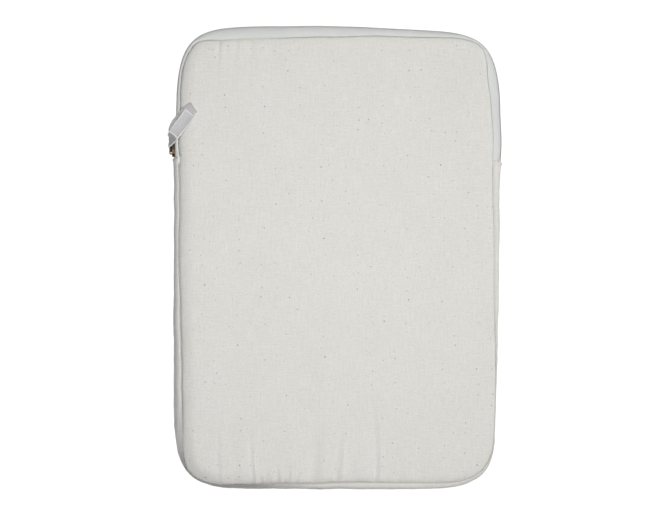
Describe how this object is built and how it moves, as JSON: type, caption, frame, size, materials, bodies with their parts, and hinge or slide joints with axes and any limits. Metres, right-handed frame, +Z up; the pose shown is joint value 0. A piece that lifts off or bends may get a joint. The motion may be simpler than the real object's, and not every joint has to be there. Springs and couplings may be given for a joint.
{
  "type": "laptop sleeve",
  "caption": "Padded natural canvas laptop sleeve with a zip round its top, a gusset strip round its lower edge and a ribbon zip pull.",
  "frame": {"origin": "centre of the back panel's outer face, which the sleeve lies on", "axes": "+Y towards the zipped top, +Z up out of the front panel, +X to the right seen from the front"},
  "size_m": [0.2514, 0.351, 0.0252],
  "materials": {
    "canvas": "undyed plain-weave cotton with seed flecks",
    "foam": "matte closed-cell foam",
    "lining": "fine brushed lining",
    "zip_tape": "smooth woven tape",
    "zip_coil": "semi-matte nylon",
    "slider_metal": "dark antique brass",
    "ribbon": "ribbed cotton tape",
    "binding": "folded cotton tape",
    "thread": "spun sewing thread"
  },
  "bodies": {
    "case": {"back_cover": "canvas", "back_padding": "foam", "back_lining": "lining", "front_cover_lower": "canvas", "front_padding_lower": "foam", "front_lining_lower": "lining", "gusset_cover": "canvas", "gusset_lining": "lining", "zip_tape_back": "zip_tape", "zip_tape_front_legs": "zip_tape", "zip_coil_back": "zip_coil", "zip_coil_front_legs": "zip_coil", "zip_top_stops": "slider_metal", "zip_bottom_stop": "slider_metal", "end_tacks": "thread", "seam_binding_back": "binding", "seam_binding_front_lower": "binding"},
    "flap": {"front_cover_flap": "canvas", "front_padding_flap": "foam", "front_lining_flap": "lining", "zip_tape_front": "zip_tape", "zip_coil_front": "zip_coil", "seam_binding_front_flap": "binding"},
    "zip_slider": {"slider_body": "slider_metal"},
    "slider_ring": {"pull_ring": "slider_metal"},
    "ribbon": {"pull_ribbon": "ribbon"}
  },
  "joints": [
    {"name": "flap_open", "type": "hinge", "parent": "case", "child": "flap", "pos_m": [0, 0.1196, 0.022], "axis": [1, 0, 0], "range_deg": [0, 100]},
    {"name": "slider_travel", "type": "slide", "parent": "case", "child": "zip_slider", "axis": [0, 1, 0], "range_m": [0, 0.032], "deforming": ["pull_ribbon"]},
    {"name": "ring_swing", "type": "hinge", "parent": "zip_slider", "child": "slider_ring", "pos_m": [-0.12512, 0.0815, 0.011], "axis": [0, -0.6157, 0.788], "range_deg": [0, 90]},
    {"name": "ribbon_swing", "type": "hinge", "parent": "slider_ring", "child": "ribbon", "pos_m": [-0.12512, 0.08654, 0.01494], "axis": [0, -0.6157, 0.788], "range_deg": [0, 20]}
  ]
}
